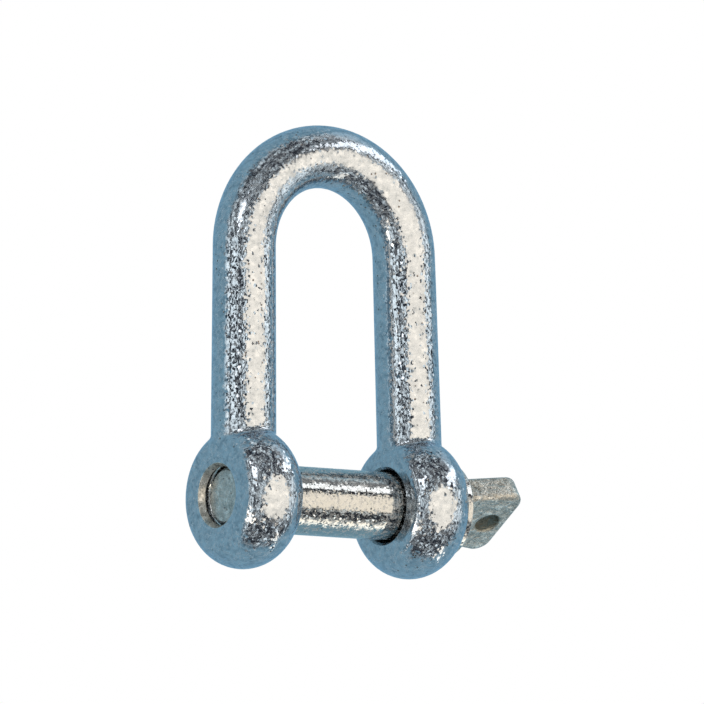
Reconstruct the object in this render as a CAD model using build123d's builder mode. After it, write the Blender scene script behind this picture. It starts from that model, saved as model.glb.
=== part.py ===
from build123d import *
from math import asin, atan2, cos, degrees, hypot, pi, radians, sin
import os

# Galvanised screw-pin D shackle, forged from 10 mm bar: a body and a screw pin.
# It lies flat. The origin is on the pin's axis, midway between the two eyes. +X runs along
# the pin to its tab, +Y from the pin to the crown of the bow, and +Z is up. Millimetres.

# Bow and legs
bar_d = 10.0  # round bar at the crown
jaw_w = 21.8  # clear width between the eyes
bow_narrowing = 0.6  # the clear width is this much less where the bow springs from the legs
inside_length = 44.8  # from the pin to the inside of the crown

# Eyes
eye_d = 22.8  # over the crowned rim
eye_t = 10.6  # from face to face
eye_crown = 2.8  # the middle of the rim stands this far above its edges
eye_edge_r = 2.2  # round between rim and face
leg_step = 0.1  # from the side of a leg to the face of its eye
leg_root = 3.5  # a leg carries on into its eye by this much
shoulder_r = 1.2  # forged blend where a leg runs into its eye

# Shank of the pin, and the bores that take it
shank_d = 10.9  # plain shank between the eyes
neck_d = 10.5  # a little thinner under the collar, inside the plain eye
neck_clearance = 0.65  # around the neck in the plain eye
thread_d = 11.0  # outside of the thread
thread_core_d = 9.3  # bottom of the thread on the pin
thread_clearance = 0.05  # around the thread in the tapped eye
tip_recess = 1.6  # tip of the pin inside the outer face of the tapped eye
tip_chamfer = 0.6
bore_chamfer = 0.4

# Collar and tab of the pin
collar_land = 0.8  # flat ring between the root of the tab and the rounded edge of the collar
collar_t = 1.5
collar_gap = 0.3  # between the collar and the plain eye
collar_edge_r = 0.3
tab_length = 10.9  # from the collar to the end of the tab
tab_w = 14.2  # at its widest
tab_root_w = 11.2  # where it grows out of the collar
tab_t = 4.4
tab_tilt = 58.0  # of the tab about the pin, from the plane of the shackle
tab_corner_r = 2.5
tab_edge_r = 0.8
tab_root_r = 0.5  # blend of tab into collar
tab_hole_d = 4.0  # for mousing wire
tab_hole_end = 3.6  # from the middle of the hole to the end of the tab
tab_hole_edge_r = 0.4

bar_r = bar_d / 2
shank_r = shank_d / 2
jaw_x = jaw_w / 2
eye_x = jaw_x + eye_t / 2
eye_outer_x = jaw_x + eye_t

# The bow is part of a circle. The legs leave its ends as tangents. Each one meets its eye
# in the middle of the eye's thickness, at the height of the edges of the crowned rim.
bow_r = (jaw_w - bow_narrowing + bar_d) / 2
bow_y = shank_r + inside_length + bar_r - bow_r
rim_y = eye_d / 2 - eye_crown
leg_foot_r = eye_t / 2 - leg_step
bow_rise = bow_y - rim_y
splay = pi / 2 - atan2(bow_rise, eye_x) - asin(bow_r / hypot(eye_x, bow_rise))
spring_x = bow_r * cos(splay)
spring_y = bow_y + bow_r * sin(splay)
root_x = eye_x + leg_root * sin(splay)
root_y = rim_y - leg_root * cos(splay)

os.makedirs("parts", exist_ok=True)

with BuildPart() as shackle_body:
    # Bow: the bar turned about the centre of the arch, from one leg to the other
    with BuildSketch(Plane((spring_x, spring_y, 0), z_dir=(-sin(splay), cos(splay), 0))):
        Circle(bar_r)
    revolve(axis=Axis((0, bow_y, 0), (0, 0, 1)), revolution_arc=180 - 2 * degrees(splay))

    # Legs: they thicken a little from the bow to the eyes
    for side in (-1, 1):
        leg_dir = (-side * sin(splay), cos(splay), 0)
        with BuildSketch(Plane((side * root_x, root_y, 0), z_dir=leg_dir)):
            Circle(leg_foot_r)
        with BuildSketch(Plane((side * spring_x, spring_y, 0), z_dir=leg_dir)):
            Circle(bar_r)
        loft()

    # Eyes: discs with flat faces and a crowned rim, each blended into its leg
    for side in (-1, 1):
        with BuildSketch() as eye_profile:
            with BuildLine(Plane((side * eye_x, 0, 0))):
                rim = ThreePointArc((-eye_t / 2, rim_y), (0, eye_d / 2), (eye_t / 2, rim_y))
                Polyline(rim @ 1, (eye_t / 2, 0), (-eye_t / 2, 0), rim @ 0)
            make_face()
            fillet(eye_profile.vertices().group_by(Axis.Y)[-1], eye_edge_r)
        revolve(axis=Axis.X)
        fillet(shackle_body.edges(Select.NEW), shoulder_r)

    # Bores: tapped in the -X eye, plain in the +X eye
    for side, bore_r in ((-1, thread_d / 2 + thread_clearance), (1, neck_d / 2 + neck_clearance)):
        with Locations(Location((side * eye_x, 0, 0), (0, 90, 0))):
            Cylinder(bore_r, eye_t, mode=Mode.SUBTRACT)
        chamfer(shackle_body.edges(Select.LAST).filter_by(GeomType.CIRCLE), bore_chamfer)

shackle_body.part.label = "shackle_body"
export_step(shackle_body.part, "parts/shackle_body.step")

tip_x = tip_recess - eye_outer_x
collar_x = eye_outer_x + collar_gap
tab_x = collar_x + collar_t
core_r = thread_core_d / 2
collar_r = hypot(tab_root_w, tab_t) / 2 + tab_root_r + collar_land + collar_edge_r
tab_normal = (0, -sin(radians(tab_tilt)), cos(radians(tab_tilt)))
tab_plane = Plane((tab_x, 0, 0), x_dir=(1, 0, 0), z_dir=tab_normal)

with BuildPart() as screw_pin:
    # Tab: a forged plate, wider at its end than at the collar, with a hole for mousing wire
    with BuildSketch(tab_plane) as tab_outline:
        with BuildLine():
            Polyline(
                (-collar_t / 2, -tab_root_w / 2),
                (tab_length - tab_corner_r, -tab_w / 2),
                (tab_length, -tab_w / 2),
                (tab_length, tab_w / 2),
                (tab_length - tab_corner_r, tab_w / 2),
                (-collar_t / 2, tab_root_w / 2),
                close=True,
            )
        make_face()
        fillet(tab_outline.vertices().group_by(Axis.X)[-1], tab_corner_r)
    extrude(amount=tab_t / 2, both=True)
    fillet(screw_pin.faces().filter_by(tab_plane).edges().group_by(Axis.X)[1:], tab_edge_r)
    with BuildSketch(tab_plane):
        with Locations((tab_length - tab_hole_end, 0)):
            Circle(tab_hole_d / 2)
    extrude(amount=tab_t / 2, both=True, mode=Mode.SUBTRACT)
    fillet(screw_pin.edges(Select.LAST).filter_by(GeomType.CIRCLE), tab_hole_edge_r)

    # Tip, core of the thread, shank, neck and collar, in one piece with the tab
    with BuildSketch():
        with BuildLine():
            Polyline(
                (tip_x, 0),
                (tip_x, core_r - tip_chamfer),
                (tip_x + tip_chamfer, core_r),
                (-jaw_x, core_r),
                (-jaw_x, shank_r),
                (jaw_x, shank_r),
                (jaw_x, neck_d / 2),
                (collar_x, neck_d / 2),
                (collar_x, collar_r),
                (tab_x, collar_r),
                (tab_x, 0),
                close=True,
            )
        make_face()
    revolve(axis=Axis.X)
    collar_face = screw_pin.faces().filter_by(Axis.X).sort_by(Axis.X)[-2]
    collar_rims = screw_pin.edges().filter_by(GeomType.CIRCLE).group_by(SortBy.RADIUS)[-1]
    fillet(collar_face.inner_wires()[0].edges(), tab_root_r)
    fillet(collar_rims, collar_edge_r)

screw_pin.part.label = "screw_pin"
export_step(screw_pin.part, "parts/screw_pin.step")
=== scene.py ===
# %% [markdown]
# # A galvanised screw-pin D shackle
#
# A shackle is two forgings. The body is a bar bent into a D with a flattened eye on each
# end, and the pin goes through both eyes and screws into one of them. The solids of both
# come from CAD. Here they get their zinc finish, their screw thread and their light.
#
# Every object is in metres and in the frame of the CAD: +X runs along the pin to its tab,
# +Y from the pin to the crown of the bow, and +Z is up, with the shackle lying flat.

# %% Load the solids
from math import cos, pi, radians, sin, tan

import bmesh
import bpy
from mathutils import Matrix, Vector


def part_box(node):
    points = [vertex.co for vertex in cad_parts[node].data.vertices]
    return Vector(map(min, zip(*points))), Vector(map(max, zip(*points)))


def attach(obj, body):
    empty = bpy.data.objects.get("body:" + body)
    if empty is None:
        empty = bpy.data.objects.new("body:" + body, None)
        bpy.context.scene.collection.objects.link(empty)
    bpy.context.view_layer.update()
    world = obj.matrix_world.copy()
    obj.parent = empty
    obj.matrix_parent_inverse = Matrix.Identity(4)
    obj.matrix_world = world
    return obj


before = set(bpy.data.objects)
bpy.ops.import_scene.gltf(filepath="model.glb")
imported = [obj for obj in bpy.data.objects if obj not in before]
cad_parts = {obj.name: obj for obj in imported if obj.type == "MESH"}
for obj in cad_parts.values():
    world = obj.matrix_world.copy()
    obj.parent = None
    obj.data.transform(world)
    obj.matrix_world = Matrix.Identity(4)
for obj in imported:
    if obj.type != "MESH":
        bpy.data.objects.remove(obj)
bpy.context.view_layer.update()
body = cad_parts["shackle_body"]
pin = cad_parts["screw_pin"]
MM = 0.001
for node in (body, pin):
    low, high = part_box(node.name)
    print(node.name, "spans", [round(v / MM, 1) for v in (high - low)], "mm")

# %% [markdown]
# ## Camera
#
# A shackle looks best from a little outside its own plane, so that both eyes show a face and
# a rim. A long lens far away keeps the two legs nearly parallel. The camera could be placed
# with angles, but a place, an aim and a small roll say the same and are easy to check.

# %% Camera
CAMERA_PLACE = Vector((-1.07330, -0.20060, 1.48773))
CAMERA_AIM = Vector((0.00311, 0.02391, 0.00283))
CAMERA_ROLL = radians(-0.76)
CAMERA_LENS, SENSOR_WIDTH = 595.64, 36  # mm


def facing(back, upward=Vector((0, 1, 0))):
    """Rotation whose local Z points along back and whose local Y leans towards upward."""
    back = back.normalized()
    right = upward.cross(back).normalized()
    return Matrix((right, back.cross(right), back)).transposed().to_4x4()


camera = bpy.data.objects.new("camera", bpy.data.cameras.new("camera"))
bpy.context.scene.collection.objects.link(camera)
camera.data.lens = CAMERA_LENS
camera.data.sensor_width = SENSOR_WIDTH
view_back = CAMERA_PLACE - CAMERA_AIM
camera.matrix_world = (
    Matrix.Translation(CAMERA_PLACE) @ facing(view_back) @ Matrix.Rotation(CAMERA_ROLL, 4, "Z")
)
bpy.context.scene.camera = camera
bpy.context.scene.view_settings.view_transform = "Standard"
print("camera", round(view_back.length, 3), "m from the shackle")

# %% [markdown]
# ## Patterns of the zinc
#
# Hot-dip zinc is smooth at arm's length and grainy close up: the steel below was sand
# blasted, and the zinc froze over it in small crystals. Four patterns make it: crystals that
# mostly lie nearly flat while some lean a lot, a tone that drifts, long shallow waves, and a
# few pits. A bump from noise would be simpler, but it only ripples, and it is the flat
# facets that make the real skin sparkle.
#
# Both forgings and the thread use the patterns, so they are one node group with inputs for
# the sizes. They are read from object coordinates in millimetres, so they stay on the metal
# when the pin slides out.

# %% Helpers for node trees


def add_node(tree, kind, links=(), **values):
    """Adds a node, sets its own properties and links its inputs, given as (input, source)."""
    node = tree.nodes.new(kind)
    for name, value in values.items():
        setattr(node, name, value)
    for socket, source in links:
        if isinstance(source, bpy.types.NodeSocket):
            tree.links.new(source, node.inputs[socket])
        else:
            node.inputs[socket].default_value = source
    return node


def maths(tree, operation, *sources):
    """Adds a math node and returns its output."""
    return add_node(tree, "ShaderNodeMath", enumerate(sources), operation=operation).outputs[0]


def vectors(tree, operation, *sources, **named):
    """Adds a vector math node and returns its output, which is a number for a length."""
    links = [*enumerate(sources), *named.items()]
    node = add_node(tree, "ShaderNodeVectorMath", links, operation=operation)
    return node.outputs["Value" if operation in ("LENGTH", "DOT_PRODUCT") else "Vector"]


def ramp(tree, value, start, end, low=0.0, high=1.0, shape="LINEAR"):
    """Adds a ramp from low, where value is start, to high, where it is end."""
    links = [
        ("Value", value),
        ("From Min", start),
        ("From Max", end),
        ("To Min", low),
        ("To Max", high),
    ]
    node = add_node(tree, "ShaderNodeMapRange", links, interpolation_type=shape)
    return node.outputs["Result"]


# %% Node group: zinc grain
zinc_grain = bpy.data.node_groups.new("zinc grain", "ShaderNodeTree")
for side, kind, titles in (
    ("INPUT", "NodeSocketVector", ("Vector",)),
    ("INPUT", "NodeSocketFloat", ("Grain per mm", "Tilt", "Wave height", "Pit share")),
    ("OUTPUT", "NodeSocketFloat", ("Height", "Pits", "Clouds", "Frost")),
    ("OUTPUT", "NodeSocketVector", ("Facets",)),
):
    for title in titles:
        zinc_grain.interface.new_socket(title, in_out=side, socket_type=kind)
inlet = add_node(zinc_grain, "NodeGroupInput").outputs
outlet = add_node(zinc_grain, "NodeGroupOutput").inputs
print("zinc grain has", len(zinc_grain.interface.items_tree), "sockets")

# %% Crystals: cells with a ragged outline and a random colour
RAGGED_PER_MM, RAGGED_BY = 5.0, 0.25  # how finely and how far, in mm, an outline wanders
ragged = add_node(
    zinc_grain,
    "ShaderNodeTexNoise",
    [("Vector", inlet["Vector"]), ("Scale", RAGGED_PER_MM), ("Detail", 0.0)],
)
wandering = vectors(
    zinc_grain, "MULTIPLY_ADD", ragged.outputs["Color"], (RAGGED_BY,) * 3, inlet["Vector"]
)
crystals = add_node(
    zinc_grain,
    "ShaderNodeTexVoronoi",
    [("Vector", wandering), ("Scale", inlet["Grain per mm"])],
)
centred = vectors(zinc_grain, "SUBTRACT", crystals.outputs["Color"], (0.5, 0.5, 0.5))
shades = add_node(zinc_grain, "ShaderNodeSeparateColor", [("Color", crystals.outputs["Color"])])
print("an outline wanders by", RAGGED_BY, "mm")

# %% Each crystal leans its own way
# The flat faces that look along the pin were smooth before they were dipped.
FACE_START, FACE_END, FACE_SHARE = 0.85, 0.98, 0.4
# Some crystals lie nearly flat, and the others stand more and more out of the surface.
FLAT_CRYSTALS, LEAST_SHARE, MOST_SHARE = 0.3, 0.2, 2.5
normal = add_node(zinc_grain, "ShaderNodeNewGeometry").outputs["Normal"]
normal_x = add_node(zinc_grain, "ShaderNodeSeparateXYZ", [("Vector", normal)]).outputs["X"]
face_share = ramp(
    zinc_grain, maths(zinc_grain, "ABSOLUTE", normal_x), FACE_START, FACE_END, 1.0, FACE_SHARE
)
lot = add_node(zinc_grain, "ShaderNodeTexWhiteNoise", [("Vector", crystals.outputs["Position"])])
own_share = ramp(zinc_grain, lot.outputs["Value"], FLAT_CRYSTALS, 1.0, LEAST_SHARE, MOST_SHARE)
face_tilt = maths(zinc_grain, "MULTIPLY", inlet["Tilt"], face_share)
crystal_tilt = maths(zinc_grain, "MULTIPLY", face_tilt, own_share)
lean = vectors(zinc_grain, "SCALE", centred, Scale=crystal_tilt)
facets = vectors(zinc_grain, "NORMALIZE", vectors(zinc_grain, "ADD", normal, lean))
print("a crystal leans by", LEAST_SHARE, "to", MOST_SHARE, "times the tilt")

# %% Waves and drifting tone
WAVES_PER_MM, WAVE_DETAIL, WAVE_ROUGHNESS = 0.32, 2.0, 0.45
CLOUDS_PER_MM, CLOUD_DETAIL, CLOUD_ROUGHNESS = 0.9, 3.0, 0.6
CLOUD_START, CLOUD_END = 0.35, 0.65


def noise(tree, place, scale, detail, roughness):
    """Adds a noise texture and returns its value."""
    links = [("Vector", place), ("Scale", scale), ("Detail", detail), ("Roughness", roughness)]
    return add_node(tree, "ShaderNodeTexNoise", links).outputs[0]


waves = noise(zinc_grain, inlet["Vector"], WAVES_PER_MM, WAVE_DETAIL, WAVE_ROUGHNESS)
clouds = noise(zinc_grain, inlet["Vector"], CLOUDS_PER_MM, CLOUD_DETAIL, CLOUD_ROUGHNESS)
drifts = ramp(zinc_grain, clouds, CLOUD_START, CLOUD_END)
print("a wave is about", round(1 / WAVES_PER_MM, 1), "mm long")

# %% Pits, and the outputs of the group
PIT_CELLS_PER_MM, PIT_RIM, PIT_FLOOR = 1.5, 0.32, 0.14
PIT_DEPTH = 0.03  # mm
cells = add_node(
    zinc_grain,
    "ShaderNodeTexVoronoi",
    [("Vector", inlet["Vector"]), ("Scale", PIT_CELLS_PER_MM)],
)
# A pit sits in the middle of a few cells only, chosen by the cell's random colour.
chance = add_node(zinc_grain, "ShaderNodeSeparateColor", [("Color", cells.outputs["Color"])])
chosen = maths(zinc_grain, "LESS_THAN", chance.outputs[0], inlet["Pit share"])
inside = ramp(zinc_grain, cells.outputs["Distance"], PIT_RIM, PIT_FLOOR, shape="SMOOTHSTEP")
pits = maths(zinc_grain, "MULTIPLY", chosen, inside)
wave_height = maths(zinc_grain, "MULTIPLY", waves, inlet["Wave height"])
pit_depth = maths(zinc_grain, "MULTIPLY", pits, PIT_DEPTH)
for title, source in (
    ("Height", maths(zinc_grain, "SUBTRACT", wave_height, pit_depth)),
    ("Pits", pits),
    ("Clouds", drifts),
    ("Frost", shades.outputs[0]),
    ("Facets", facets),
):
    zinc_grain.links.new(source, outlet[title])
print("zinc grain has", len(zinc_grain.nodes), "nodes")

# %% [markdown]
# ## Zinc finishes
#
# Zinc is a metal, so it has little colour of its own and shows what is around it. Each
# crystal is a small mirror that leans its own way, so next to a bright band some crystals
# catch a dark part of the room and others a lamp, and the metal looks like salt and pepper.
# Some crystals have a dull crust, which is less metallic.
#
# The body is a cool grey zinc, and the pin is a little warmer, as they come from two baths.
# They differ in numbers only, so one function makes both finishes.

# %% Zinc material


def mixed(tree, factor, first, second):
    """Adds a mix of two colours, each an output or three numbers, and returns its output."""
    node = add_node(tree, "ShaderNodeMix", [("Factor", factor)], data_type="RGBA")
    # The colour sockets of a Mix node are its last A, B and Result.
    for socket, source in ((node.inputs[6], first), (node.inputs[7], second)):
        if isinstance(source, bpy.types.NodeSocket):
            tree.links.new(source, socket)
        else:
            socket.default_value = (*source, 1)
    return node.outputs[2]


def zinc(title, colour, frost, dark, edge, roughness, dullest, **sizes):
    """Makes a zinc finish. Returns the material, the place in mm that it reads, and its grain.

    colour holds the two ends of the drifting tone, frost is the tone of the dullest crystals,
    dark that of the pits, and edge the tint at a grazing angle. roughness holds that of the
    shiniest and of the dullest crystals, and dullest is how metallic the dullest ones are.
    The sizes go to the inputs of zinc grain that have their names.
    """
    material = bpy.data.materials.new(title)
    material.use_nodes = True
    tree = material.node_tree
    shader = tree.nodes["Principled BSDF"].inputs
    place = add_node(tree, "ShaderNodeTexCoord").outputs["Object"]
    to_mm = add_node(tree, "ShaderNodeMapping", [("Vector", place), ("Scale", (1 / MM,) * 3)])
    in_mm = to_mm.outputs["Vector"]
    group = add_node(tree, "ShaderNodeGroup", [("Vector", in_mm)], node_tree=zinc_grain)
    for name, value in sizes.items():
        group.inputs[name.replace("_", " ").capitalize()].default_value = value
    pattern = group.outputs
    tone = mixed(tree, pattern["Clouds"], *colour)
    frosted = mixed(tree, pattern["Frost"], tone, frost)
    tree.links.new(mixed(tree, pattern["Pits"], frosted, dark), shader["Base Color"])
    gloss = ramp(tree, pattern["Frost"], 0.0, 1.0, *roughness)
    tree.links.new(gloss, shader["Roughness"])
    # From half way up its shades, a crystal gets duller and duller.
    crust = ramp(tree, pattern["Frost"], 0.5, 1.0, 1.0, dullest)
    tree.links.new(crust, shader["Metallic"])
    relief = [("Height", pattern["Height"]), ("Distance", MM), ("Normal", pattern["Facets"])]
    bump = add_node(tree, "ShaderNodeBump", relief)
    tree.links.new(bump.outputs["Normal"], shader["Normal"])
    shader["Specular Tint"].default_value = (*edge, 1)
    print(title, "has", len(tree.nodes), "nodes")
    return material, in_mm, group


# %% Zinc of the body
body_zinc, body_mm, body_grain = zinc(
    "zinc of the body",
    colour=((0.28, 0.31, 0.34), (0.56, 0.59, 0.62)),
    frost=(0.48, 0.51, 0.54),
    dark=(0.15, 0.12, 0.10),
    edge=(0.80, 0.90, 1.0),
    roughness=(0.05, 0.10),
    dullest=0.7,
    grain_per_mm=2.5,
    wave_height=0.10,
    pit_share=0.10,
)
body.material_slots[0].material = body_zinc

# %% Wear along the body
# The crystals lie flatter and shine more softly on the eyes and round the bow, where ropes
# and chains rub.
EYE_END, LEG_START, LEG_END, BOW_START = 9, 15, 38, 46  # mm from the axis of the pin
EYE_TILT, LEG_TILT, BOW_TILT = 0.15, 0.20, 0.11
EYE_RUBBED, BOW_RUBBED = 0.05, 0.08  # roughness on top of the crystals' own
body_tree = body_zinc.node_tree
up_the_leg = add_node(body_tree, "ShaderNodeSeparateXYZ", [("Vector", body_mm)]).outputs["Y"]
before_leg = ramp(body_tree, up_the_leg, EYE_END, LEG_START, 1.0, 0.0)
past_leg = ramp(body_tree, up_the_leg, LEG_END, BOW_START)
eye_tilt = maths(body_tree, "MULTIPLY_ADD", before_leg, EYE_TILT - LEG_TILT, LEG_TILT)
body_tilt = maths(body_tree, "MULTIPLY_ADD", past_leg, BOW_TILT - LEG_TILT, eye_tilt)
body_tree.links.new(body_tilt, body_grain.inputs["Tilt"])
body_gloss = body_tree.nodes["Principled BSDF"].inputs["Roughness"]
crystal_gloss = body_gloss.links[0].from_socket
eye_gloss = maths(body_tree, "MULTIPLY_ADD", before_leg, EYE_RUBBED, crystal_gloss)
bow_gloss = maths(body_tree, "MULTIPLY_ADD", past_leg, BOW_RUBBED, eye_gloss)
body_tree.links.new(bow_gloss, body_gloss)
print("the legs are rough from", LEG_START, "to", LEG_END, "mm")

# %% Zinc of the pin
PIN_DARK = (0.10, 0.10, 0.10)
pin_zinc, pin_mm, pin_grain = zinc(
    "zinc of the pin",
    colour=((0.40, 0.41, 0.39), (0.45, 0.46, 0.45)),
    frost=(0.46, 0.46, 0.45),
    dark=PIN_DARK,
    edge=(0.85, 0.92, 0.95),
    roughness=(0.07, 0.13),
    dullest=0.2,
    grain_per_mm=3.0,
    tilt=0.085,
    wave_height=0.06,
    pit_share=0.08,
)
pin.material_slots[0].material = pin_zinc

# %% [markdown]
# ## Matt ends of the pin
#
# The shank has been drawn smooth, but the tip and the tab are as they were forged. There the
# zinc stays a dull grey crust, less metallic and uneven in tone, and the hammered skin of the
# tab shows through it as a low relief. Inside the mousing hole the tone is painted darker, as
# a painted shade in its recess. All of these are masks over the same material, and not
# materials of their own, because one finish fades into the other.

# %% Matt crust on the tip and the tab


def lay_over(material, mask, tone, roughness):
    """Lays another tone and roughness over a finish where the mask is 1."""
    tree = material.node_tree
    shader = tree.nodes["Principled BSDF"].inputs
    below = shader["Base Color"].links[0].from_socket
    tree.links.new(mixed(tree, mask, below, tone), shader["Base Color"])
    below = shader["Roughness"].links[0].from_socket
    tree.links.new(ramp(tree, mask, 0.0, 1.0, below, roughness), shader["Roughness"])


SMOOTH_MIDDLE, SMOOTH_HALF = 1.7, 21.3  # mm: the smooth stretch, from the tip to the collar
CRUST_FADE = 0.4  # mm
CRUST_DARK, CRUST_LIGHT, CRUST_FROST = (0.20, 0.20, 0.18), (0.90, 0.87, 0.80), (0.40, 0.39, 0.35)
CRUST_ROUGHNESS = (0.22, 0.42)
pin_tree = pin_zinc.node_tree
pin_pattern = pin_grain.outputs
along_pin = add_node(pin_tree, "ShaderNodeSeparateXYZ", [("Vector", pin_mm)]).outputs["X"]
off_middle = maths(pin_tree, "ABSOLUTE", maths(pin_tree, "SUBTRACT", along_pin, SMOOTH_MIDDLE))
past_ends = ramp(pin_tree, off_middle, SMOOTH_HALF, SMOOTH_HALF + CRUST_FADE)
crust_tone = mixed(pin_tree, pin_pattern["Clouds"], CRUST_DARK, CRUST_LIGHT)
crust_tone = mixed(pin_tree, pin_pattern["Frost"], crust_tone, CRUST_FROST)
crust_tone = mixed(pin_tree, pin_pattern["Pits"], crust_tone, PIN_DARK)
crust_gloss = ramp(pin_tree, pin_pattern["Frost"], 0.0, 1.0, *CRUST_ROUGHNESS)
lay_over(pin_zinc, past_ends, crust_tone, crust_gloss)
print("the crust starts", SMOOTH_HALF, "mm from the middle of the pin")

# %% Dull metal, and the hammered skin of the tab
CRUST_METALLIC = 0.6
TAB_START = SMOOTH_MIDDLE + SMOOTH_HALF
TAB_FADE, TAB_RELIEF = 0.8, 0.14  # mm
pin_shader = pin_tree.nodes["Principled BSDF"].inputs
bright_metal = pin_shader["Metallic"].links[0].from_socket
pin_metal = ramp(pin_tree, past_ends, 0.0, 1.0, bright_metal, CRUST_METALLIC)
pin_tree.links.new(pin_metal, pin_shader["Metallic"])
past_collar = ramp(pin_tree, along_pin, TAB_START, TAB_START + TAB_FADE)
hammered = maths(pin_tree, "MULTIPLY", past_collar, pin_pattern["Clouds"])
pin_height = pin_shader["Normal"].links[0].from_node.inputs["Height"]
crystal_height = pin_height.links[0].from_socket
tab_height = maths(pin_tree, "MULTIPLY_ADD", hammered, TAB_RELIEF, crystal_height)
pin_tree.links.new(tab_height, pin_height)
print("the relief of the tab is", TAB_RELIEF, "mm deep")

# %% Painted shade in the mousing hole
HOLE_X, TAB_TURN = 30.6, radians(58)  # mm along the pin, and the turn of the tab about it
HOLE_RIM, HOLE_WALL = 2.35, 2.02  # mm from the axis of the hole
# The darker tone inside the hole is painted shade for the recess, laid over the zinc with a duller
# roughness.
HOLE_SHADE_TONE, HOLE_ROUGHNESS = (0.26, 0.26, 0.22), 0.45
# The distance from the axis of the hole is the length of a cross product.
from_hole = vectors(pin_tree, "SUBTRACT", pin_mm, (HOLE_X, 0, 0))
hole_axis = (0, -sin(TAB_TURN), cos(TAB_TURN))
off_axis = vectors(pin_tree, "LENGTH", vectors(pin_tree, "CROSS_PRODUCT", from_hole, hole_axis))
# This mask says where the painted shade of the hole goes.
hole_shade_mask = ramp(pin_tree, off_axis, HOLE_RIM, HOLE_WALL)
lay_over(pin_zinc, hole_shade_mask, HOLE_SHADE_TONE, HOLE_ROUGHNESS)
print("zinc of the pin has", len(pin_tree.nodes), "nodes")

# %% [markdown]
# ## Screw thread
#
# The tapped eye and the tip of the pin carry the same coarse thread. A thread is one ridge
# that follows a helix, so it is a path with a profile: a spiral curve, swept with a trapezoid
# that stands up from the core of the pin or hangs down from the wall of the bore. One node
# tree makes both. With the pin home, the ridge of the eye runs in the groove of the pin, half
# a pitch away.

# %% Node tree: thread ridge
RIDGE_INPUTS = (
    ("Radius", "NodeSocketFloat"),
    ("Pitch", "NodeSocketFloat"),
    ("Turns", "NodeSocketFloat"),
    ("Ridge height", "NodeSocketFloat"),
    ("Inner width", "NodeSocketFloat"),
    ("Outer width", "NodeSocketFloat"),
    ("Start", "NodeSocketFloat"),
    ("Turned by", "NodeSocketFloat"),
    ("Finish", "NodeSocketMaterial"),
)
ridge_tree = bpy.data.node_groups.new("thread ridge", "GeometryNodeTree")
ridge_tree.interface.new_socket("Geometry", in_out="INPUT", socket_type="NodeSocketGeometry")
ridge_keys = {
    title: ridge_tree.interface.new_socket(title, in_out="INPUT", socket_type=kind).identifier
    for title, kind in RIDGE_INPUTS
}
ridge_tree.interface.new_socket("Geometry", in_out="OUTPUT", socket_type="NodeSocketGeometry")
given = add_node(ridge_tree, "NodeGroupInput").outputs
print("thread ridge has", len(ridge_keys), "named inputs")

# %% Path of the ridge
STEPS_PER_TURN = 48
FADE_TURNS, END_SIZE = 0.35, 0.15  # the ridge dies out over the ends of its path
helix = add_node(
    ridge_tree,
    "GeometryNodeCurveSpiral",
    [
        ("Resolution", STEPS_PER_TURN),
        ("Rotations", given["Turns"]),
        ("Start Radius", given["Radius"]),
        ("End Radius", given["Radius"]),
        ("Height", maths(ridge_tree, "MULTIPLY", given["Pitch"], given["Turns"])),
    ],
)
upright = add_node(
    ridge_tree, "GeometryNodeSetCurveNormal", [("Curve", helix.outputs[0])], mode="Z_UP"
)
along = add_node(ridge_tree, "GeometryNodeSplineParameter").outputs["Factor"]
turns_done = maths(ridge_tree, "MULTIPLY", along, given["Turns"])
turns_left = maths(ridge_tree, "SUBTRACT", given["Turns"], turns_done)
nearest_end = maths(ridge_tree, "MINIMUM", turns_done, turns_left)
ridge_size = ramp(ridge_tree, nearest_end, 0.0, FADE_TURNS, END_SIZE, shape="SMOOTHSTEP")
print("the path has", STEPS_PER_TURN, "steps to a turn")

# %% Profile of the ridge, swept and laid along the pin
trapezoid = add_node(
    ridge_tree,
    "GeometryNodeCurvePrimitiveQuadrilateral",
    [
        ("Bottom Width", given["Inner width"]),
        ("Top Width", given["Outer width"]),
        ("Height", given["Ridge height"]),
        ("Offset", 0.0),
    ],
    mode="TRAPEZOID",
)
# The profile is drawn with its height along Y; the radius of the helix is its X.
stood = add_node(
    ridge_tree,
    "GeometryNodeTransform",
    [("Geometry", trapezoid.outputs[0]), ("Rotation", (0, 0, -pi / 2))],
)
sweep = add_node(
    ridge_tree,
    "GeometryNodeCurveToMesh",
    [
        ("Curve", upright.outputs["Curve"]),
        ("Profile Curve", stood.outputs["Geometry"]),
        ("Scale", ridge_size),
        ("Fill Caps", True),
    ],
)
turn = add_node(ridge_tree, "ShaderNodeCombineXYZ", [("Z", given["Turned by"])])
spun = add_node(
    ridge_tree,
    "GeometryNodeTransform",
    [("Geometry", sweep.outputs["Mesh"]), ("Rotation", turn.outputs[0])],
)
# The helix climbs along Z; a quarter turn about Y lays it along the pin.
shift = add_node(ridge_tree, "ShaderNodeCombineXYZ", [("X", given["Start"])])
laid = add_node(
    ridge_tree,
    "GeometryNodeTransform",
    [
        ("Geometry", spun.outputs["Geometry"]),
        ("Translation", shift.outputs[0]),
        ("Rotation", (0, pi / 2, 0)),
    ],
)
real = add_node(
    ridge_tree, "GeometryNodeRealizeInstances", [("Geometry", laid.outputs["Geometry"])]
)
coated = add_node(
    ridge_tree,
    "GeometryNodeSetMaterial",
    [("Geometry", real.outputs["Geometry"]), ("Material", given["Finish"])],
)
add_node(ridge_tree, "NodeGroupOutput", [("Geometry", coated.outputs["Geometry"])])
print("thread ridge has", len(ridge_tree.nodes), "nodes")

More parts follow.
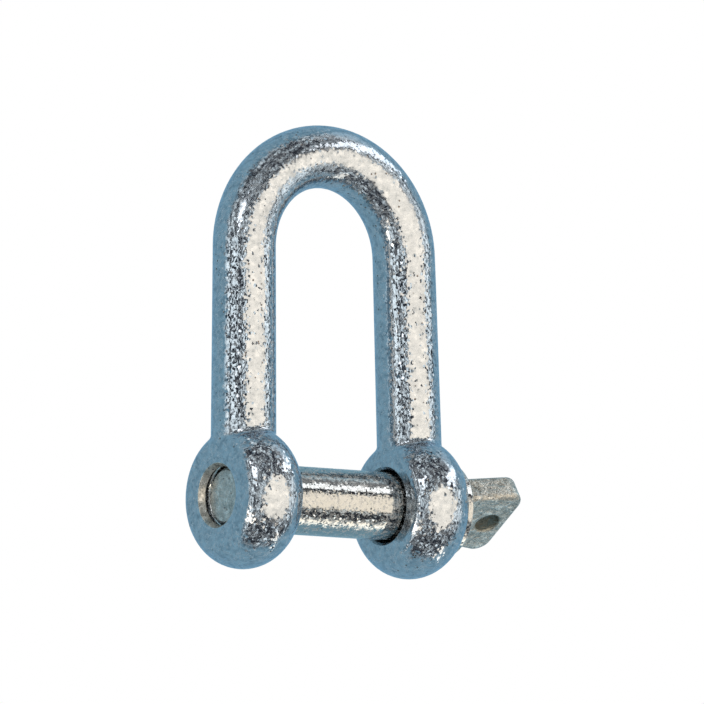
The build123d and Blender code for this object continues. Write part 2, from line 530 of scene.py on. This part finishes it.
# %% Sizes of the thread
THREAD_PITCH = 1.5 * MM
PIN_CORE_R, PIN_THREAD_R = 4.65 * MM, 5.50 * MM
EYE_THREAD_R, EYE_BORE_R = 4.85 * MM, 5.55 * MM  # inside of the ridge of the eye, and its wall
CREST, FOOT = 0.25 * MM, 1.15 * MM  # widths of a ridge
SUNK = 0.1 * MM  # a ridge stands this deep in the metal that carries it
EYE_OUTER_X, JAW_X = -21.5 * MM, -10.9 * MM  # faces of the tapped eye
PIN_RIDGE_START, PIN_RIDGE_END = EYE_OUTER_X + 2.3 * MM, JAW_X - 0.15 * MM
EYE_RIDGE_START, EYE_RIDGE_END = EYE_OUTER_X + 1.2 * MM, JAW_X - 0.5 * MM
half_a_pitch_off = 2 * pi * (EYE_RIDGE_START - PIN_RIDGE_START) / THREAD_PITCH - pi
print("the pin has", round((PIN_RIDGE_END - PIN_RIDGE_START) / THREAD_PITCH, 1), "turns")


# %% The ridge of the pin and the ridge of the eye
def ridge(title, start, end, **sizes):
    """Runs the ridge tree from start to end along the pin and returns it as a plain mesh."""
    sizes.update(start=start, pitch=THREAD_PITCH, turns=(end - start) / THREAD_PITCH)
    carrier = bpy.data.objects.new(title + "_tree", bpy.data.meshes.new(title + "_tree"))
    bpy.context.scene.collection.objects.link(carrier)
    nodes = carrier.modifiers.new(title, "NODES")
    nodes.node_group = ridge_tree
    for name, value in sizes.items():
        nodes[ridge_keys[name.replace("_", " ").capitalize()]] = value
    graph = bpy.context.evaluated_depsgraph_get()
    mesh = bpy.data.meshes.new_from_object(carrier.evaluated_get(graph), depsgraph=graph)
    mesh.name = title
    bpy.data.objects.remove(carrier)
    piece = bpy.data.objects.new(title, mesh)
    bpy.context.scene.collection.objects.link(piece)
    print(title, "has", len(mesh.polygons), "faces")
    return piece


pin_thread = ridge(
    "pin_thread",
    PIN_RIDGE_START,
    PIN_RIDGE_END,
    radius=(PIN_CORE_R - SUNK + PIN_THREAD_R) / 2,
    ridge_height=PIN_THREAD_R - PIN_CORE_R + SUNK,
    inner_width=FOOT,
    outer_width=CREST,
    turned_by=0.0,
    finish=pin_zinc,
)
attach(pin_thread, "pin")

eye_thread = ridge(
    "eye_thread",
    EYE_RIDGE_START,
    EYE_RIDGE_END,
    radius=(EYE_THREAD_R + EYE_BORE_R + SUNK) / 2,
    ridge_height=EYE_BORE_R + SUNK - EYE_THREAD_R,
    inner_width=CREST,
    outer_width=FOOT,
    turned_by=half_a_pitch_off,
    finish=pin_zinc,
)
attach(eye_thread, "body")

# %% [markdown]
# ## Mouth of the tapped eye
#
# The bore is countersunk before it is tapped, so its mouth is a short matt cone, and round
# the cone the zinc has closed up to a narrow ring, flush with the face of the eye. A cut in
# the solid would do, but the mouth is the same all the way round and needs two finishes, so
# it is a small section turned about the axis of the pin.

# %% Lip of the tapped bore
LIP_STEPS = 96
SHARP_EDGE = radians(35)
LIP_SECTION = (  # x and radius in mm; its first side is the flush ring
    (-21.50, 5.96),
    (-21.50, 5.20),
    (-21.47, 5.14),
    (-21.42, 5.10),
    (-20.45, 4.66),
    (-20.35, 4.68),
    (-20.30, 4.80),
    (-20.28, 5.62),
    (-21.10, 5.62),
)


def turned_about_pin(title, section, steps, first_finish, finish):
    """Turns a closed section of (x, radius) points, in mm; its first side has its own finish."""
    mesh = bpy.data.meshes.new(title)
    count = len(section)
    points = [
        (x * MM, r * MM * cos(2 * pi * k / steps), r * MM * sin(2 * pi * k / steps))
        for k in range(steps)
        for x, r in section
    ]
    faces = [
        (k * count + i, k * count + j, (k + 1) % steps * count + j, (k + 1) % steps * count + i)
        for k in range(steps)
        for i, j in zip(range(count), [*range(1, count), 0])
    ]
    mesh.from_pydata(points, [], faces)
    shell = bmesh.new()
    shell.from_mesh(mesh)
    bmesh.ops.recalc_face_normals(shell, faces=shell.faces)
    shell.to_mesh(mesh)
    shell.free()
    mesh.shade_smooth()
    mesh.set_sharp_from_angle(angle=SHARP_EDGE)
    mesh.materials.append(first_finish)
    mesh.materials.append(finish)
    for number, face in enumerate(mesh.polygons):
        face.material_index = 0 if number % count == 0 else 1
    piece = bpy.data.objects.new(title, mesh)
    bpy.context.scene.collection.objects.link(piece)
    print(title, "has", len(faces), "faces")
    return piece


eye_lip = turned_about_pin("eye_lip", LIP_SECTION, LIP_STEPS, body_zinc, pin_zinc)
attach(eye_lip, "body")

# %% [markdown]
# ## Surroundings
#
# Metal is lit by its surroundings more than by lamps. The shackle hangs in a studio with a
# pale blue floor and walls, and a small white board, far behind it, fills the lens. Over the
# lamps hangs a canopy of dark cloth with light patches. The crystals break these up into
# salt and pepper, where a plain dark sky would leave flat grey stripes along the bars. The
# canopy fades into the blue of the walls along its rim, and the camera doesn't see it.

# %% Floor and board
PALE_BLUE, WHITE = (0.30, 0.51, 0.64), (1, 1, 1)
FLOOR_DEPTH, FLOOR_HALF = 1.35, 12.0
BOARD_DISTANCE, BOARD_HALF = 1.45, 0.13


def glow(title, colour):
    """A plain even surface for the stage."""
    material = bpy.data.materials.new(title)
    material.use_nodes = True
    tree = material.node_tree
    tree.nodes.remove(tree.nodes["Principled BSDF"])
    light = add_node(tree, "ShaderNodeEmission", [("Color", (*colour, 1)), ("Strength", 1.0)])
    tree.links.new(light.outputs[0], tree.nodes["Material Output"].inputs["Surface"])
    return material


def stage_sheet(title, transform, half, material):
    """A square sheet of the stage, centred on transform and facing its local Z."""
    corners = [Vector((x, y, 0)) * half for x, y in ((-1, -1), (1, -1), (1, 1), (-1, 1))]
    mesh = bpy.data.meshes.new(title)
    mesh.from_pydata([transform @ c for c in corners], [], [(0, 1, 2, 3)])
    mesh.materials.append(material)
    sheet = bpy.data.objects.new(title, mesh)
    bpy.context.scene.collection.objects.link(sheet)
    print(title, "is", 2 * half, "m wide")


floor_place = Matrix.Translation((0, 0, -FLOOR_DEPTH))
stage_sheet("floor", floor_place, FLOOR_HALF, glow("pale floor", PALE_BLUE))
board_place = Matrix.Translation(CAMERA_AIM - view_back.normalized() * BOARD_DISTANCE)
stage_sheet("board", board_place @ facing(view_back), BOARD_HALF, glow("white board", WHITE))

# %% World
world = bpy.data.worlds.new("studio")
bpy.context.scene.world = world
world.use_nodes = True
world.node_tree.nodes["Background"].inputs["Color"].default_value = (*PALE_BLUE, 1)
print("the walls have the colour of the floor")

# %% Cloth of the canopy
CLOTH_DARK, CLOTH_LIGHT = (0.045, 0.05, 0.065), (1.65, 1.8, 1.85)
DAPPLE_SCALE, DAPPLE_DETAIL, DAPPLE_ROUGHNESS = 10.0, 0.5, 0.5
DAPPLE_START, DAPPLE_END = 0.47, 0.59
THIN_START, THIN_END, THINNED_BY = 0.25, 0.6, 0.085
cloth = glow("dappled cloth", CLOTH_DARK)
cloth_tree = cloth.node_tree
canopy_place = add_node(cloth_tree, "ShaderNodeTexCoord").outputs["Object"]
outward = vectors(cloth_tree, "NORMALIZE", canopy_place)
dapple = noise(cloth_tree, outward, DAPPLE_SCALE, DAPPLE_DETAIL, DAPPLE_ROUGHNESS)
# The light patches get fewer on the side of the crown and on the side of the pin.
outward_y = add_node(cloth_tree, "ShaderNodeSeparateXYZ", [("Vector", outward)]).outputs["Y"]
off_centre = maths(cloth_tree, "ABSOLUTE", outward_y)
thinning = ramp(cloth_tree, off_centre, THIN_START, THIN_END, 0.0, THINNED_BY)
thinned = maths(cloth_tree, "SUBTRACT", dapple, thinning)
lit = ramp(cloth_tree, thinned, DAPPLE_START, DAPPLE_END, shape="SMOOTHSTEP")
print("dappled cloth has", len(cloth_tree.nodes), "nodes")

# %% Opening in the dapple behind the key lamp
KEY_HEADING, KEY_RISE, KEY_TURN = radians(8), radians(-5.5), radians(9)
KEY_WIDE, KEY_HIGH = radians(80), radians(64)
OPENING_EDGE = 1.06  # radii of the key lamp


def towards(heading, rise):
    """The direction at heading (from +Z to +X) and rise (to +Y)."""
    return Vector((sin(heading) * cos(rise), sin(rise), cos(heading) * cos(rise)))


# The opening is the ellipse that the key lamp covers, as seen from the shackle.
key_turned = facing(towards(KEY_HEADING, KEY_RISE)) @ Matrix.Rotation(KEY_TURN, 4, "Z")
in_key_frame = add_node(
    cloth_tree,
    "ShaderNodeMapping",
    [("Vector", outward), ("Rotation", key_turned.inverted().to_euler())],
).outputs[0]
key_depth = add_node(cloth_tree, "ShaderNodeSeparateXYZ", [("Vector", in_key_frame)]).outputs["Z"]
nearness = maths(cloth_tree, "DIVIDE", 1.0, key_depth)
on_lamp = vectors(cloth_tree, "SCALE", in_key_frame, Scale=nearness)
lamp_radii = (1 / tan(KEY_WIDE / 2), 1 / tan(KEY_HIGH / 2), 0)
from_key = vectors(cloth_tree, "LENGTH", vectors(cloth_tree, "MULTIPLY", on_lamp, lamp_radii))
beside_key = ramp(cloth_tree, from_key, 1.0, OPENING_EDGE)
light_share = maths(cloth_tree, "MULTIPLY", lit, beside_key)
print("the opening is", round(2 * tan(KEY_WIDE / 2), 2), "m wide at 1 m")

# %% Rim of the canopy, and its dome
CANOPY_RADIUS = 2.6
CANOPY_LEAN = radians(-14.5)  # from +Z to +X, so here towards the side of the tapped eye
RIM_START, RIM_END = -0.12, 0.15  # sines of the height over the open side
overhead = Vector((sin(CANOPY_LEAN), 0, cos(CANOPY_LEAN)))
over_rim = vectors(cloth_tree, "DOT_PRODUCT", outward, overhead)
within_rim = ramp(cloth_tree, over_rim, RIM_START, RIM_END)
patches = mixed(cloth_tree, light_share, CLOTH_DARK, CLOTH_LIGHT)
cloth_tree.links.new(
    mixed(cloth_tree, within_rim, PALE_BLUE, patches), cloth_tree.nodes["Emission"].inputs["Color"]
)

canopy_mesh = bpy.data.meshes.new("canopy")
dome = bmesh.new()
bmesh.ops.create_icosphere(dome, subdivisions=5, radius=CANOPY_RADIUS)
open_below = [v for v in dome.verts if v.co.dot(overhead) < RIM_START * CANOPY_RADIUS]
bmesh.ops.delete(dome, geom=open_below, context="VERTS")
dome.to_mesh(canopy_mesh)
dome.free()
canopy_mesh.materials.append(cloth)
canopy = bpy.data.objects.new("canopy", canopy_mesh)
bpy.context.scene.collection.objects.link(canopy)
canopy.visible_camera = False
print("canopy has", len(canopy_mesh.polygons), "faces")

# %% [markdown]
# ## Lamps
#
# Six lamps stand under the canopy. The key lamp is big and warm, and every bar shows it as
# its wide highlight. The narrow lamps on both sides, high and low, draw the thin highlights
# along the edges of the eyes, the pin and the bow, and a faint one behind lifts the shade of
# the bow. Each one is given by the direction in which it stands and by how wide it looks from
# the shackle, which is what its reflection in the metal depends on.

# %% Soft boxes
LAMP_DISTANCE = 2.0
WARM_WHITE, COOL_WHITE = (1.0, 0.89, 0.75), (0.97, 0.98, 1.0)
KEY_RADIANCE = 1.42
SIDE_LAMPS = (  # heading, rise, width, height and turn in degrees; colour; radiance
    ("left lamp", (-83, -22, 50, 8, -36), WARM_WHITE, 3.0),
    ("upper left lamp", (-56, 29, 14, 18, 0), COOL_WHITE, 2.2),
    ("upper right lamp", (60, 35, 44, 14, 0), COOL_WHITE, 1.9),
    ("back lamp", (77, 50, 44, 24, 0), COOL_WHITE, 0.22),
    ("lower right lamp", (75, -54, 40, 5, 0), WARM_WHITE, 1.9),
)


def soft_box(title, heading, rise, wide, high, turn, colour, radiance):
    """An elliptic lamp at heading and rise, with its sizes as angles seen from the shackle."""
    lamp = bpy.data.objects.new(title, bpy.data.lights.new(title, "AREA"))
    bpy.context.scene.collection.objects.link(lamp)
    away = towards(heading, rise)
    lamp_place = Matrix.Translation(CAMERA_AIM + away * LAMP_DISTANCE)
    lamp.matrix_world = lamp_place @ facing(away) @ Matrix.Rotation(turn, 4, "Z")
    lamp.data.shape = "ELLIPSE"
    lamp.data.size = 2 * LAMP_DISTANCE * tan(wide / 2)
    lamp.data.size_y = 2 * LAMP_DISTANCE * tan(high / 2)
    lamp.data.color = colour
    # A lamp's radiance is its power over four times its area.
    area = lamp.data.size * lamp.data.size_y * (pi / 4)
    lamp.data.energy = 4 * area * radiance
    lamp.visible_camera = False
    print(title, round(lamp.data.energy, 2), "W")


soft_box("key lamp", KEY_HEADING, KEY_RISE, KEY_WIDE, KEY_HIGH, KEY_TURN, WARM_WHITE, KEY_RADIANCE)
for title, angles, colour, radiance in SIDE_LAMPS:
    soft_box(title, *map(radians, angles), colour, radiance)
